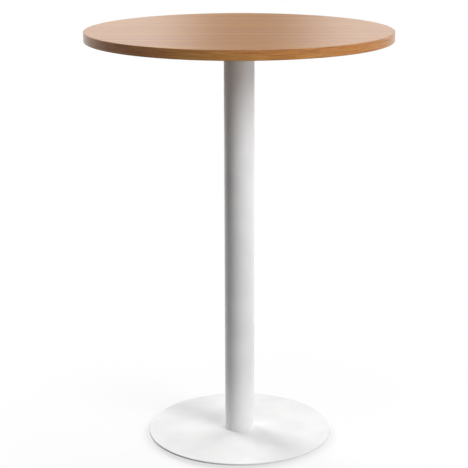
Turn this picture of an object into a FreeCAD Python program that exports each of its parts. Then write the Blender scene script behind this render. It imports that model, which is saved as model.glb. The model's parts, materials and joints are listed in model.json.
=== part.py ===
import FreeCAD, Part
import math
import os
import Sketcher

# A standing meeting table: a round laminated board on one tubular column, which a tie rod
# clamps between a die-cast four-arm spider under the board and a weighted disc base.
# Frame: origin on the floor under the column's axis, +Z up, millimetres. The spider's arms
# lie along X and Y, the four levelling feet stand between them, and the seam of the board's
# edging is at +Y.

doc = FreeCAD.newDocument("standing_meeting_table")

SIZES = {
    # overall
    "table_height": "1115",  # floor to the top face, feet screwed home
    "top_diameter": "800",
    "top_thickness": "25",
    "column_diameter": "80",
    "base_diameter": "500",
    # board
    "laminate_thickness": "0.8",  # decor sheet above, balancing sheet below
    "edging_thickness": "2",
    "edging_rounding": "1.5",  # radius of its outer corners
    "edging_seam": "0.2",  # butt joint where the strip's ends meet
    # column
    "column_wall": "2",
    "tube_fit": "0.3",  # radial room of what slides into the tube
    # spider hub
    "hub_overhang": "6",  # hub rim proud of the column, all round
    "hub_rim": "5",  # height of the hub's straight rim
    "hub_flare_radius": "70",
    "hub_wall": "4",
    "hub_floor": "8",  # metal under the nut pocket
    "nut_pocket_depth": "22",
    "nut_pocket_room": "5",  # round the washer, for a socket spanner
    "spigot_length": "14",
    "spigot_chamfer": "1.5",
    "rod_boss_wall": "7",
    "rib_thickness": "3",
    # spider arms
    "arm_count": "4",
    "arm_reach": "170",
    "arm_root_width": "44",  # across the hub's axis
    "arm_tip_width": "27",
    "arm_root_depth": "24",
    "arm_tip_depth": "7",
    "arm_wall": "4",
    "arm_web": "4",  # plate that bears on the board
    "arm_root_fillet": "6",
    "rib_driver_room": "4",  # between a rib's end and a screw's head
    "inner_screw_distance": "36",  # from the hub's rim
    "outer_screw_distance": "15",  # from the arm's tip
    # wood screws that hold the board
    "wood_screw_diameter": "5",
    "wood_screw_length": "20",
    "wood_screw_head_diameter": "10",
    "wood_screw_head_height": "3.2",
    "wood_screw_point": "4",
    "cross_recess_width": "1.2",
    "cross_recess_span": "5",
    "cross_recess_depth": "1.8",
    "pilot_extra_depth": "2",
    "screw_clearance": "0.25",  # radial, in plain holes
    "thread_fit": "0.05",  # radial, of a plain shank in a tapped or pilot hole
    # tie rod and its nut
    "rod_diameter": "12",
    "rod_chamfer": "1",
    "rod_clearance": "0.5",  # radial, in the hub and the washer
    "rod_stickout": "3",  # above the nut
    "nut_across_flats": "18",
    "nut_height": "10.8",
    "nut_face_diameter": "16.6",  # where the corner bevels start
    "washer_diameter": "24",
    "washer_thickness": "2.5",
    "spring_washer_diameter": "21.1",
    "spring_washer_thickness": "2.5",
    "spring_washer_slit": "2",
    # locator in the column's foot
    "locator_height": "18",
    "locator_chamfer": "2",
    "locator_screw_count": "3",
    "locator_screw_circle": "45",
    "locator_screw_diameter": "8",
    "locator_screw_length": "20",
    "locator_head_diameter": "16",
    "locator_tap_extra_depth": "2",
    "locator_socket_flats": "5",
    "locator_socket_depth": "2.8",
    # base
    "cover_sheet": "1.2",
    "cover_rim_height": "5",
    "cover_bend_radius": "0.8",  # inside the bend
    "ballast_thickness": "8",
    "ballast_inset": "10",  # its edge in from the cover's edge
    "ballast_chamfer": "0.5",
    # levelling feet
    "foot_edge_distance": "35",  # stud's axis in from the ballast's edge
    "stud_diameter": "8",
    "stud_tip_gap": "0.3",  # stud's end short of the cover, screwed home
    "stud_chamfer": "0.8",
    "collar_flats": "13",
    "collar_height": "2.5",
    "collar_face_diameter": "12.4",
    "neck_diameter": "9.5",
    "button_diameter": "12",
    "button_height": "1.5",
    "button_play": "0.3",  # button's room to lift in the glide
    "glide_diameter": "32",
    "glide_height": "4.5",
    "glide_floor": "1.5",
    "glide_chamfer": "0.8",
    "glide_fit": "0.1",  # radial, round the button and the neck
    "glide_gap": "0.3",  # under the collar
}
HEXAGON_BEVEL_SLOPE = "tan(30 deg)"
LENGTH_TOLERANCE = 0.001
FOOT_COUNT = 4
FIRST_FOOT_ANGLE = 45  # degrees from +X

sizes = doc.addObject("Spreadsheet::Sheet", "sizes")
for row, (alias, value) in enumerate(SIZES.items(), start=1):
    sizes.set(f"A{row}", alias)
    sizes.set(f"B{row}", value)
    sizes.setAlias(f"B{row}", alias)
doc.recompute()

# Heights above the floor, worked out from the driving sizes.
COLLAR_BOTTOM = "(sizes.glide_height + sizes.glide_gap)"
BALLAST_BOTTOM = f"({COLLAR_BOTTOM} + sizes.collar_height)"
COVER_SEAT = f"({BALLAST_BOTTOM} + sizes.ballast_thickness)"
COLUMN_FOOT = f"({COVER_SEAT} + sizes.cover_sheet)"
BOARD_UNDERSIDE = "(sizes.table_height - sizes.top_thickness)"
HUB_HEIGHT = "(sizes.nut_pocket_depth + sizes.hub_floor)"
COLUMN_HEAD = f"({BOARD_UNDERSIDE} - {HUB_HEIGHT})"

# Radii and lengths that several pieces share.
BOARD_RADIUS = "(sizes.top_diameter / 2 - sizes.edging_thickness)"
BOARD_THICKNESS = "(sizes.top_thickness - 2 * sizes.laminate_thickness)"
COLUMN_RADIUS = "(sizes.column_diameter / 2)"
TUBE_INSERT_RADIUS = f"({COLUMN_RADIUS} - sizes.column_wall - sizes.tube_fit)"
HUB_RADIUS = f"({COLUMN_RADIUS} + sizes.hub_overhang)"
NUT_POCKET_RADIUS = "(sizes.washer_diameter / 2 + sizes.nut_pocket_room)"
ROD_RADIUS = "(sizes.rod_diameter / 2)"
ROD_HOLE_RADIUS = f"({ROD_RADIUS} + sizes.rod_clearance)"
ROD_TAP_RADIUS = f"({ROD_RADIUS} + sizes.thread_fit)"
INNER_SCREW_RADIUS = f"({HUB_RADIUS} + sizes.inner_screw_distance)"
OUTER_SCREW_RADIUS = "(sizes.arm_reach - sizes.outer_screw_distance)"
SCREW_CIRCLES = {"inner": INNER_SCREW_RADIUS, "outer": OUTER_SCREW_RADIUS}
SCREW_HOLE_RADIUS = "(sizes.wood_screw_diameter / 2 + sizes.screw_clearance)"
LOCATOR_SCREW_X = "(sizes.locator_screw_circle / 2)"
LOCATOR_SCREW_RADIUS = "(sizes.locator_screw_diameter / 2)"
LOCATOR_HEAD_RADIUS = "(sizes.locator_head_diameter / 2)"
BALLAST_RADIUS = "(sizes.base_diameter / 2 - sizes.ballast_inset)"
FOOT_CIRCLE_RADIUS = f"({BALLAST_RADIUS} - sizes.foot_edge_distance)"


# ---------------------------------------------------------------------------------------
# How features are made
# ---------------------------------------------------------------------------------------
def number(expression):
    """The present value of an expression on the sheet."""
    return float(sizes.evalExpression(expression))


def bind(thing, expressions):
    """Tie properties, by their paths, to expressions on the sheet."""
    for path, expression in expressions.items():
        thing.setExpression(path, expression)


def new_body(label, height):
    """A body of one piece, with its own origin at a height above the floor."""
    body = doc.addObject("PartDesign::Body", label)
    body.Label = label
    bind(body, {"Placement.Base.z": height})
    return body


def origin_part(body, role):
    """The plane or axis of a body's origin that has this role."""
    return next(item for item in body.Origin.OriginFeatures if item.Role == role)


def attach(feature, body, role, x="0", y="0", z="0", turn="0"):
    """Put a feature on a plane of its own body's origin, moved and turned in that plane."""
    feature.AttachmentSupport = [(origin_part(body, role), "")]
    feature.MapMode = "FlatFace"
    feature.AttachmentOffset = FreeCAD.Placement(
        FreeCAD.Vector(0, 0, 0), FreeCAD.Rotation(FreeCAD.Vector(0, 0, 1), 1)
    )
    offsets = {"Base.x": x, "Base.y": y, "Base.z": z, "Rotation.Angle": turn}
    bind(feature, {f"AttachmentOffset.{path}": text for path, text in offsets.items()})


def new_sketch(body, name, role, **place):
    sketch = body.newObject("Sketcher::SketchObject", name)
    attach(sketch, body, role, **place)
    return sketch


def fix_point(sketch, side, end, x, y):
    """Constrain one end of a side to a spot, in expressions, from the sketch's origin."""
    for kind, axis, expression in (("DistanceX", -2, x), ("DistanceY", -1, y)):
        value = number(expression)
        if value == 0:
            sketch.addConstraint(Sketcher.Constraint("PointOnObject", side, end, axis))
        else:
            rule = sketch.addConstraint(Sketcher.Constraint(kind, -1, 1, side, end, value))
            sketch.setExpression(f"Constraints[{rule}]", expression)


def fix_radius(sketch, side, radius):
    rule = sketch.addConstraint(Sketcher.Constraint("Radius", side, number(radius)))
    sketch.setExpression(f"Constraints[{rule}]", radius)


def arc_through(start, end, radius, hand):
    """The arc from start to end, with its centre on the left or right hand of its travel."""
    chord = end - start
    rise = math.sqrt(radius**2 - (chord.Length / 2) ** 2)
    leftward = FreeCAD.Vector(-chord.y, chord.x, 0) / chord.Length
    side = 1 if hand == "left" else -1
    centre = (start + end) / 2 + leftward * rise * side
    first, last = (start, end) if hand == "left" else (end, start)
    angles = [math.atan2(spot.y - centre.y, spot.x - centre.x) for spot in (first, last)]
    circle = Part.Circle(centre, FreeCAD.Vector(0, 0, 1), radius)
    return Part.ArcOfCircle(circle, angles[0], angles[1])


def draw_outline(sketch, corners):
    """Draw a closed outline, fully constrained, through corners given in expressions.

    A corner is (x, y), reached by a straight side, or (x, y, radius, hand), reached by an
    arc whose centre lies on that hand of the travel.
    """
    spots = [FreeCAD.Vector(number(corner[0]), number(corner[1]), 0) for corner in corners]
    ends = []
    for side, corner in enumerate(corners):
        start, end = spots[side - 1], spots[side]
        if len(corner) == 2:
            sketch.addGeometry(Part.LineSegment(start, end), False)
            ends.append((1, 2))
        else:
            radius, hand = corner[2:]
            sketch.addGeometry(arc_through(start, end, number(radius), hand), False)
            ends.append((1, 2) if hand == "left" else (2, 1))
    for side, corner in enumerate(corners):
        after = (side + 1) % len(corners)
        meeting = Sketcher.Constraint("Coincident", side, ends[side][1], after, ends[after][0])
        sketch.addConstraint(meeting)
        fix_point(sketch, side, ends[side][1], corner[0], corner[1])
        if len(corner) > 2:
            fix_radius(sketch, side, corner[2])


def draw_rectangle(sketch, left, right, width):
    """A rectangle from left to right, half of its width on each side of the X axis."""
    low, high = f"-({width}) / 2", f"({width}) / 2"
    draw_outline(sketch, [(left, low), (right, low), (right, high), (left, high)])


def draw_circle(sketch, radius):
    circle = Part.Circle(FreeCAD.Vector(0, 0, 0), FreeCAD.Vector(0, 0, 1), number(radius))
    side = sketch.addGeometry(circle, False)
    sketch.addConstraint(Sketcher.Constraint("Coincident", side, 3, -1, 1))
    fix_radius(sketch, side, radius)


def revolve(body, name, corners, x="0"):
    """Turn a profile of (radius, height) corners about the upright axis at x."""
    sketch = new_sketch(body, f"{name}_profile", "XZ_Plane", x=x)
    draw_outline(sketch, corners)
    solid = body.newObject("PartDesign::Revolution", name)
    solid.Profile = sketch
    solid.ReferenceAxis = (sketch, ["V_Axis"])
    body.Tip = solid
    return solid


def turn_away(body, name, corners):
    """Cut a profile of (radius, height) corners, turned about the body's axis."""
    sketch = new_sketch(body, f"{name}_profile", "XZ_Plane")
    draw_outline(sketch, corners)
    cut = body.newObject("PartDesign::Groove", name)
    cut.Profile = sketch
    cut.ReferenceAxis = (sketch, ["V_Axis"])
    body.Tip = cut
    return cut


def extrude_down(body, kind, name, sketch, length):
    """Pad or Pocket a sketch of the XY plane towards -Z."""
    feature = body.newObject(f"PartDesign::{kind}", name)
    feature.Profile = sketch
    feature.Reversed = kind == "Pad"
    bind(feature, {"Length": length})
    body.Tip = feature
    return feature


def add_shape(body, kind, name, measures, **place):
    """An additive or subtractive primitive on the body's XY plane."""
    feature = body.newObject(f"PartDesign::{kind}", name)
    attach(feature, body, "XY_Plane", **place)
    bind(feature, measures)
    body.Tip = feature
    return feature


def drill(body, name, radius, depth, **place):
    """A round hole that rises from its place by its depth."""
    measures = {"Radius": radius, "Height": depth}
    return add_shape(body, "SubtractiveCylinder", name, measures, **place)


def repeat_round(body, name, features, count):
    """Repeat features evenly about the body's axis."""
    pattern = body.newObject("PartDesign::PolarPattern", name)
    pattern.Originals = features
    pattern.Axis = (origin_part(body, "Z_Axis"), [""])
    pattern.Angle = 360
    bind(pattern, {"Occurrences": count})
    body.Tip = pattern
    return pattern


def bevel_hexagon(body, name, flats, face_diameter, bottom, top):
    """Turn a hexagon's corners off at both ends, from its round end faces outwards."""
    face = f"(({face_diameter}) / 2)"
    reach = f"(2 * ({flats}) / sqrt(3) - {face})"
    drop = f"(({reach} - {face}) * {HEXAGON_BEVEL_SLOPE})"
    for end, level, corner in (
        ("top", top, f"{top} - {drop}"),
        ("bottom", bottom, f"{bottom} + {drop}"),
    ):
        turn_away(body, f"{name}_{end}_bevel", [(face, level), (reach, level), (reach, corner)])


# ---------------------------------------------------------------------------------------
# Board
# ---------------------------------------------------------------------------------------
def build_tabletop_core():
    """Particle board, piloted from below for the spider's screws."""
    body = new_body("tabletop_core", f"{BOARD_UNDERSIDE} + sizes.laminate_thickness")
    disc = {"Radius": BOARD_RADIUS, "Height": BOARD_THICKNESS}
    add_shape(body, "AdditiveCylinder", "board", disc)
    radius = "sizes.wood_screw_diameter / 2 + sizes.thread_fit"
    depth = (
        "sizes.wood_screw_length - sizes.arm_web - sizes.laminate_thickness"
        " + sizes.pilot_extra_depth"
    )
    pilots = [
        drill(body, f"{circle}_pilot", radius, depth, x=x) for circle, x in SCREW_CIRCLES.items()
    ]
    repeat_round(body, "pilots", pilots, "sizes.arm_count")
    return body


def build_backing_laminate():
    """Balancing sheet under the board, with clearance holes for the screws."""
    body = new_body("backing_laminate", BOARD_UNDERSIDE)
    sheet = {"Radius": BOARD_RADIUS, "Height": "sizes.laminate_thickness"}
    add_shape(body, "AdditiveCylinder", "backing_sheet", sheet)
    holes = [
        drill(body, f"{circle}_hole", SCREW_HOLE_RADIUS, "sizes.laminate_thickness", x=x)
        for circle, x in SCREW_CIRCLES.items()
    ]
    repeat_round(body, "holes", holes, "sizes.arm_count")
    return body


def build_top_laminate():
    """Decor sheet on the board."""
    sheet = doc.addObject("Part::Cylinder", "top_laminate")
    sheet.Label = "top_laminate"
    bind(sheet, {
        "Radius": BOARD_RADIUS,
        "Height": "sizes.laminate_thickness",
        "Placement.Base.z": "sizes.table_height - sizes.laminate_thickness",
    })
    return sheet


def build_edge_band():
    """Edging strip, its outer corners rounded, with a butt seam at +Y."""
    body = new_body("edge_band", BOARD_UNDERSIDE)
    outer = "sizes.top_diameter / 2"
    rounding = "sizes.edging_rounding"
    revolve(body, "strip", [
        (BOARD_RADIUS, "0"),
        (f"{outer} - {rounding}", "0"),
        (outer, rounding, rounding, "left"),
        (outer, f"sizes.top_thickness - {rounding}"),
        (f"{outer} - {rounding}", "sizes.top_thickness", rounding, "left"),
        (BOARD_RADIUS, "sizes.top_thickness"),
    ])
    gap = {
        "Length": "sizes.edging_seam",
        "Width": "2 * sizes.edging_thickness",
        "Height": "sizes.top_thickness",
    }
    add_shape(
        body, "SubtractiveBox", "seam", gap,
        x="-sizes.edging_seam / 2", y=f"{BOARD_RADIUS} - sizes.edging_thickness / 2",
    )
    return body


# ---------------------------------------------------------------------------------------
# Spider
# ---------------------------------------------------------------------------------------
def draw_arm(sketch, root_x, half_root, tip_radius):
    """A tongue along X that tapers from its root to a round tip, tangent all the way."""
    tip_x = "(sizes.arm_reach - sizes.arm_tip_width / 2)"
    near, far = number(root_x), number(tip_x)
    wide, narrow = number(half_root), number(tip_radius)
    low_root = FreeCAD.Vector(near, -wide, 0)
    high_root = FreeCAD.Vector(near, wide, 0)
    low_tip = FreeCAD.Vector(far, -narrow, 0)
    high_tip = FreeCAD.Vector(far, narrow, 0)
    circle = Part.Circle(FreeCAD.Vector(far, 0, 0), FreeCAD.Vector(0, 0, 1), narrow)
    low = sketch.addGeometry(Part.LineSegment(low_root, low_tip), False)
    nose = sketch.addGeometry(Part.ArcOfCircle(circle, -math.pi / 2, math.pi / 2), False)
    high = sketch.addGeometry(Part.LineSegment(high_tip, high_root), False)
    root = sketch.addGeometry(Part.LineSegment(high_root, low_root), False)
    for rule in (
        ("Tangent", low, 2, nose, 1),
        ("Tangent", nose, 2, high, 1),
        ("Coincident", high, 2, root, 1),
        ("Coincident", root, 2, low, 1),
    ):
        sketch.addConstraint(Sketcher.Constraint(*rule))
    fix_radius(sketch, nose, tip_radius)
    fix_point(sketch, nose, 3, tip_x, "0")
    fix_point(sketch, low, 1, root_x, f"-({half_root})")
    fix_point(sketch, high, 2, root_x, half_root)


def build_spider_hub(body):
    """The hub's outside: a rim that flares to the board over a spigot for the tube."""
    spigot_end = f"-({HUB_HEIGHT} + sizes.spigot_length)"
    revolve(body, "hub", [
        ("0", "0"),
        (HUB_RADIUS, "0"),
        (HUB_RADIUS, "-sizes.hub_rim"),
        (COLUMN_RADIUS, f"-{HUB_HEIGHT}", "sizes.hub_flare_radius", "left"),
        (TUBE_INSERT_RADIUS, f"-{HUB_HEIGHT}"),
        (TUBE_INSERT_RADIUS, f"{spigot_end} + sizes.spigot_chamfer"),
        (f"{TUBE_INSERT_RADIUS} - sizes.spigot_chamfer", spigot_end),
        ("0", spigot_end),
    ])


def arm_root_edges(shape):
    """Names of the upright edges where the arms' flat sides meet the round hub."""
    hub_radius = number(HUB_RADIUS) + LENGTH_TOLERANCE
    names = []
    for place, edge in enumerate(shape.Edges, start=1):
        ends = [vertex.Point for vertex in edge.Vertexes]
        surfaces = {type(face.Surface) for face in shape.ancestorsOfType(edge, Part.Face)}
        upright = abs(ends[0].z - ends[-1].z) > LENGTH_TOLERANCE
        on_hub = all(math.hypot(spot.x, spot.y) < hub_radius for spot in ends)
        if upright and on_hub and Part.Plane in surfaces and len(surfaces) == 2:
            names.append(f"Edge{place}")
    return names


def build_spider_arms(body):
    """Tapering channels, open downwards and ribbed, whose walls curve up to the tips."""
    tip_radius = "sizes.arm_tip_width / 2"
    half_root = "sizes.arm_root_width / 2"
    blank_sketch = new_sketch(body, "arm_outline", "XY_Plane")
    draw_arm(blank_sketch, "0", half_root, tip_radius)
    blank = extrude_down(body, "Pad", "arm_blank", blank_sketch, "sizes.arm_root_depth")

    taper = f"({half_root} - {tip_radius}) * {HUB_RADIUS} / (sizes.arm_reach - {tip_radius})"
    channel_sketch = new_sketch(body, "arm_channel_outline", "XY_Plane", z="-sizes.arm_web")
    draw_arm(
        channel_sketch, HUB_RADIUS,
        f"{half_root} - {taper} - sizes.arm_wall", f"{tip_radius} - sizes.arm_wall",
    )
    channel = extrude_down(body, "Pocket", "arm_channel", channel_sketch, "sizes.arm_root_depth")

    clear = "(sizes.wood_screw_head_diameter / 2 + sizes.rib_driver_room)"
    ribs = []
    for name, start, end in (
        ("inner_rib", f"{HUB_RADIUS} - sizes.hub_overhang / 2", f"{INNER_SCREW_RADIUS} - {clear}"),
        ("outer_rib", f"{INNER_SCREW_RADIUS} + {clear}", f"{OUTER_SCREW_RADIUS} - {clear}"),
    ):
        rib_sketch = new_sketch(body, f"{name}_outline", "XY_Plane")
        draw_rectangle(rib_sketch, start, end, "sizes.rib_thickness")
        ribs.append(extrude_down(body, "Pad", name, rib_sketch, "sizes.arm_root_depth"))

    run = f"(sizes.arm_reach - {HUB_RADIUS})"
    rise = "(sizes.arm_root_depth - sizes.arm_tip_depth)"
    sweep = f"({run} ^ 2 + {rise} ^ 2) / (2 * {rise})"
    curve_sketch = new_sketch(body, "arm_underside_curve", "XZ_Plane")
    draw_outline(curve_sketch, [
        (HUB_RADIUS, "-sizes.arm_root_depth"),
        ("sizes.arm_reach", "-sizes.arm_tip_depth", sweep, "right"),
        ("sizes.arm_reach", "-sizes.arm_root_depth - sizes.arm_web"),
        (HUB_RADIUS, "-sizes.arm_root_depth - sizes.arm_web"),
    ])
    underside = body.newObject("PartDesign::Pocket", "arm_underside")
    underside.Profile = curve_sketch
    underside.SideType = "Symmetric"
    bind(underside, {"Length": "2 * sizes.arm_root_width"})
    repeat_round(body, "arms", [blank, channel, *ribs, underside], "sizes.arm_count")

    doc.recompute()
    arms = body.Tip
    fillet = body.newObject("PartDesign::Fillet", "arm_root_fillets")
    fillet.Base = (arms, arm_root_edges(arms.Shape))
    bind(fillet, {"Radius": "sizes.arm_root_fillet"})
    body.Tip = fillet

    depth = "2 * sizes.arm_web"
    holes = [
        drill(body, f"{circle}_screw_hole", SCREW_HOLE_RADIUS, depth, x=x, z=f"-{depth}")
        for circle, x in SCREW_CIRCLES.items()
    ]
    repeat_round(body, "screw_holes", holes, "sizes.arm_count")


def build_spider_coring(body):
    """What is cored out of the hub, and the ribs left across each ring-shaped hollow."""
    spigot_end = f"-({HUB_HEIGHT} + sizes.spigot_length)"
    pocket_wall = f"({NUT_POCKET_RADIUS} + sizes.hub_wall)"
    outer_wall = f"({COLUMN_RADIUS} - sizes.hub_wall)"
    boss = f"({ROD_HOLE_RADIUS} + sizes.rod_boss_wall)"
    spigot_wall = f"({TUBE_INSERT_RADIUS} - sizes.hub_wall)"
    turn_away(body, "upper_hollow", [
        (pocket_wall, "0"),
        (outer_wall, "0"),
        (outer_wall, "-sizes.nut_pocket_depth"),
        (pocket_wall, "-sizes.nut_pocket_depth"),
    ])
    turn_away(body, "lower_hollow", [
        (boss, f"-{HUB_HEIGHT}"),
        (spigot_wall, f"-{HUB_HEIGHT}"),
        (spigot_wall, spigot_end),
        (boss, spigot_end),
    ])
    turn_away(body, "nut_pocket_and_rod_hole", [
        ("0", "0"),
        (NUT_POCKET_RADIUS, "0"),
        (NUT_POCKET_RADIUS, "-sizes.nut_pocket_depth"),
        (ROD_HOLE_RADIUS, "-sizes.nut_pocket_depth"),
        (ROD_HOLE_RADIUS, spigot_end),
        ("0", spigot_end),
    ])
    half_wall = "sizes.hub_wall / 2"
    upper = new_sketch(body, "upper_rib_outline", "XY_Plane", turn="180 / sizes.arm_count")
    draw_rectangle(
        upper, f"{pocket_wall} - {half_wall}", f"{outer_wall} + {half_wall}", "sizes.rib_thickness"
    )
    upper_rib = extrude_down(body, "Pad", "upper_rib", upper, "sizes.nut_pocket_depth")
    repeat_round(body, "upper_ribs", [upper_rib], "sizes.arm_count")
    lower = new_sketch(body, "lower_rib_outline", "XY_Plane", z=f"-{HUB_HEIGHT}")
    draw_rectangle(
        lower, f"{boss} - {half_wall}", f"{spigot_wall} + {half_wall}", "sizes.rib_thickness"
    )
    lower_rib = extrude_down(body, "Pad", "lower_rib", lower, "sizes.spigot_length")
    repeat_round(body, "lower_ribs", [lower_rib], "sizes.arm_count")


def build_top_spider():
    """Die-cast bracket that carries the board; its own origin is in its top face."""
    body = new_body("top_spider", BOARD_UNDERSIDE)
    build_spider_hub(body)
    build_spider_arms(body)
    build_spider_coring(body)
    return body


def build_spider_screws():
    """Pan-head wood screws, two to an arm, up through the arms into the board."""
    body = new_body("spider_screws", f"{BOARD_UNDERSIDE} - sizes.arm_web")
    shank = "sizes.wood_screw_diameter / 2"
    head = "sizes.wood_screw_head_diameter / 2"
    crown = "sizes.wood_screw_head_height"
    dome = f"({crown} - {crown} / 4)"
    features = []
    for circle, x in SCREW_CIRCLES.items():
        features.append(revolve(body, f"{circle}_screw", [
            ("0", "sizes.wood_screw_length"),
            ("0", f"-{crown}"),
            (f"{head} - {dome}", f"-{crown}"),
            (head, f"{dome} - {crown}", dome, "left"),
            (head, "0"),
            (shank, "0"),
            (shank, "sizes.wood_screw_length - sizes.wood_screw_point"),
        ], x=x))
        for slot, turn in (("long", "0"), ("cross", "90")):
            sketch = new_sketch(
                body, f"{circle}_{slot}_slot_outline", "XY_Plane",
                x=x, z=f"sizes.cross_recess_depth - {crown}", turn=turn,
            )
            half_span = "sizes.cross_recess_span / 2"
            draw_rectangle(sketch, f"-{half_span}", half_span, "sizes.cross_recess_width")
            features.append(
                extrude_down(body, "Pocket", f"{circle}_{slot}_slot", sketch, crown)
            )
    repeat_round(body, "screws", features, "sizes.arm_count")
    return body


# ---------------------------------------------------------------------------------------
# Column
# ---------------------------------------------------------------------------------------
def build_column_tube():
    """Plain steel tube from the base's cover to the spider's hub."""
    body = new_body("column_tube", COLUMN_FOOT)
    sketch = new_sketch(body, "column_section", "XY_Plane")
    draw_circle(sketch, COLUMN_RADIUS)
    draw_circle(sketch, f"{COLUMN_RADIUS} - sizes.column_wall")
    tube = body.newObject("PartDesign::Pad", "tube")
    tube.Profile = sketch
    bind(tube, {"Length": f"{COLUMN_HEAD} - {COLUMN_FOOT}"})
    body.Tip = tube
    return body


NUT_SEAT = (
    f"({BOARD_UNDERSIDE} - sizes.nut_pocket_depth + sizes.washer_thickness"
    " + sizes.spring_washer_thickness)"
)


def build_tie_rod():
    """Threaded rod from the locator's underside to above the nut, its ends chamfered."""
    body = new_body("tie_rod", COLUMN_FOOT)
    length = f"({NUT_SEAT} + sizes.nut_height + sizes.rod_stickout - {COLUMN_FOOT})"
    end = f"{ROD_RADIUS} - sizes.rod_chamfer"
    revolve(body, "rod", [
        ("0", "0"),
        (end, "0"),
        (ROD_RADIUS, "sizes.rod_chamfer"),
        (ROD_RADIUS, f"{length} - sizes.rod_chamfer"),
        (end, length),
        ("0", length),
    ])
    return body


def build_rod_nut():
    """Hexagon nut in the hub's pocket."""
    body = new_body("rod_nut", NUT_SEAT)
    prism = {"Circumradius": "sizes.nut_across_flats / sqrt(3)", "Height": "sizes.nut_height"}
    add_shape(body, "AdditivePrism", "nut_blank", prism)
    bevel_hexagon(
        body, "nut", "sizes.nut_across_flats", "sizes.nut_face_diameter", "0", "sizes.nut_height"
    )
    drill(body, "nut_thread", ROD_TAP_RADIUS, "sizes.nut_height")
    return body


def build_washer(label, outer, bore, thickness, height):
    """A flat ring: Part cylinders, one cut from the other."""
    disc = doc.addObject("Part::Cylinder", f"{label}_disc")
    bind(disc, {"Radius": outer, "Height": thickness})
    hole = doc.addObject("Part::Cylinder", f"{label}_hole")
    bind(hole, {"Radius": bore, "Height": thickness})
    ring = doc.addObject("Part::Cut", label)
    ring.Base = disc
    ring.Tool = hole
    ring.Label = label
    bind(ring, {"Placement.Base.z": height})
    return ring


def build_rod_washer():
    height = f"{BOARD_UNDERSIDE} - sizes.nut_pocket_depth"
    outer = "sizes.washer_diameter / 2"
    return build_washer(
        "rod_washer", outer, ROD_HOLE_RADIUS, "sizes.washer_thickness", height
    )


def build_rod_spring_washer():
    """Spring washer, flat under the tightened nut, split on one side."""
    outer = "sizes.spring_washer_diameter / 2"
    ring = build_washer(
        "spring_washer_ring", outer, ROD_TAP_RADIUS, "sizes.spring_washer_thickness", "0"
    )
    slit = doc.addObject("Part::Box", "spring_washer_slit")
    bind(slit, {
        "Length": outer,
        "Width": "sizes.spring_washer_slit",
        "Height": "sizes.spring_washer_thickness",
        "Placement.Base.y": "-sizes.spring_washer_slit / 2",
    })
    washer = doc.addObject("Part::Cut", "rod_spring_washer")
    washer.Base = ring
    washer.Tool = slit
    washer.Label = "rod_spring_washer"
    seat = f"{NUT_SEAT} - sizes.spring_washer_thickness"
    bind(washer, {"Placement.Base.z": seat})
    return washer


def build_column_locator():
    """Turned hub that centres the tube on the base and takes the rod's lower thread."""
    body = new_body("column_locator", COLUMN_FOOT)
    revolve(body, "locator", [
        (ROD_TAP_RADIUS, "0"),
        (TUBE_INSERT_RADIUS, "0"),
        (TUBE_INSERT_RADIUS, "sizes.locator_height - sizes.locator_chamfer"),
        (f"{TUBE_INSERT_RADIUS} - sizes.locator_chamfer", "sizes.locator_height"),
        (ROD_TAP_RADIUS, "sizes.locator_height"),
    ])
    depth = (
        "sizes.locator_screw_length - sizes.ballast_thickness - sizes.cover_sheet"
        " + sizes.locator_tap_extra_depth"
    )
    radius = f"{LOCATOR_SCREW_RADIUS} + sizes.thread_fit"
    tap = drill(body, "locator_tap", radius, depth, x=LOCATOR_SCREW_X)
    repeat_round(body, "locator_taps", [tap], "sizes.locator_screw_count")
    return body


def build_locator_screws():
    """Countersunk screws up through the base into the locator."""
    body = new_body("locator_screws", BALLAST_BOTTOM)
    chamfer = "sizes.rod_chamfer"
    screw = revolve(body, "locator_screw", [
        ("0", "0"),
        (LOCATOR_HEAD_RADIUS, "0"),
        (LOCATOR_SCREW_RADIUS, f"{LOCATOR_HEAD_RADIUS} - {LOCATOR_SCREW_RADIUS}"),
        (LOCATOR_SCREW_RADIUS, f"sizes.locator_screw_length - {chamfer}"),
        (f"{LOCATOR_SCREW_RADIUS} - {chamfer}", "sizes.locator_screw_length"),
        ("0", "sizes.locator_screw_length"),
    ], x=LOCATOR_SCREW_X)
    socket = add_shape(body, "SubtractivePrism", "hex_socket", {
        "Circumradius": "sizes.locator_socket_flats / sqrt(3)",
        "Height": "sizes.locator_socket_depth",
    }, x=LOCATOR_SCREW_X)
    repeat_round(body, "locator_screw_ring", [screw, socket], "sizes.locator_screw_count")
    return body


# ---------------------------------------------------------------------------------------
# Base
# ---------------------------------------------------------------------------------------
def build_base_cover():
    """Pressed sheet with a shallow rim turned down round the ballast."""
    body = new_body("base_cover", COLUMN_FOOT)
    outer = "sizes.base_diameter / 2"
    sheet = "sizes.cover_sheet"
    inner_bend = "sizes.cover_bend_radius"
    outer_bend = f"({inner_bend} + {sheet})"
    rim = "-sizes.cover_rim_height"
    revolve(body, "pressed_sheet", [
        ("0", "0"),
        (f"{outer} - {outer_bend}", "0"),
        (outer, f"-{outer_bend}", outer_bend, "right"),
        (outer, rim),
        (f"{outer} - {sheet}", rim),
        (f"{outer} - {sheet}", f"-{outer_bend}"),
        (f"{outer} - {outer_bend}", f"-{sheet}", inner_bend, "left"),
        ("0", f"-{sheet}"),
    ])
    radius = f"{LOCATOR_SCREW_RADIUS} + sizes.screw_clearance"
    hole = drill(
        body, "cover_hole", radius, f"2 * {sheet}", x=LOCATOR_SCREW_X, z=f"-2 * {sheet}"
    )
    repeat_round(body, "cover_holes", [hole], "sizes.locator_screw_count")
    return body


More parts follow.
